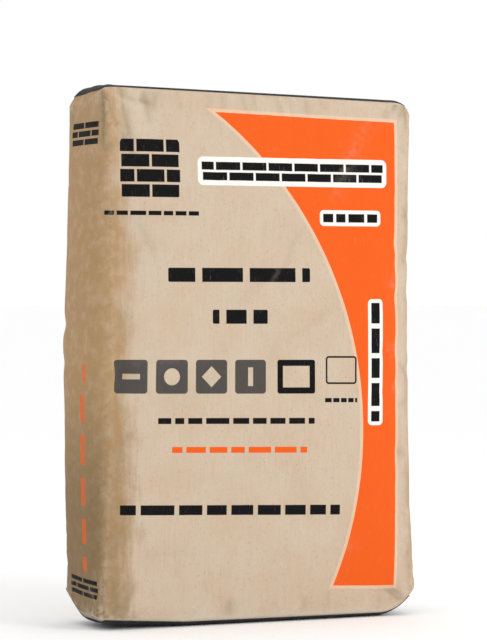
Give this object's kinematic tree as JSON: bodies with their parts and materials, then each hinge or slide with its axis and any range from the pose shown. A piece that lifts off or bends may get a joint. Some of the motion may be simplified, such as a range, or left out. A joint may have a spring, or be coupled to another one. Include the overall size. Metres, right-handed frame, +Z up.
{
  "type": "cement bag",
  "caption": "Filled kraft paper sack of cement, a glued block-end paper tube that stands on one narrow end, with black paper strips over its ends.",
  "frame": {"origin": "centre of the sack's bounding box on the floor, under the foot", "axes": "+Z up along the sack's height, X across its width, -Y out of its printed front, +Y out of its back"},
  "size_m": [0.4343, 0.14, 0.6496],
  "materials": {
    "kraft_paper": "matte",
    "black_paper": "satin"
  },
  "bodies": {
    "root": {"sack_body": "kraft_paper", "top_end_strip": "black_paper", "foot_end_strip": "black_paper"}
  },
  "joints": []
}
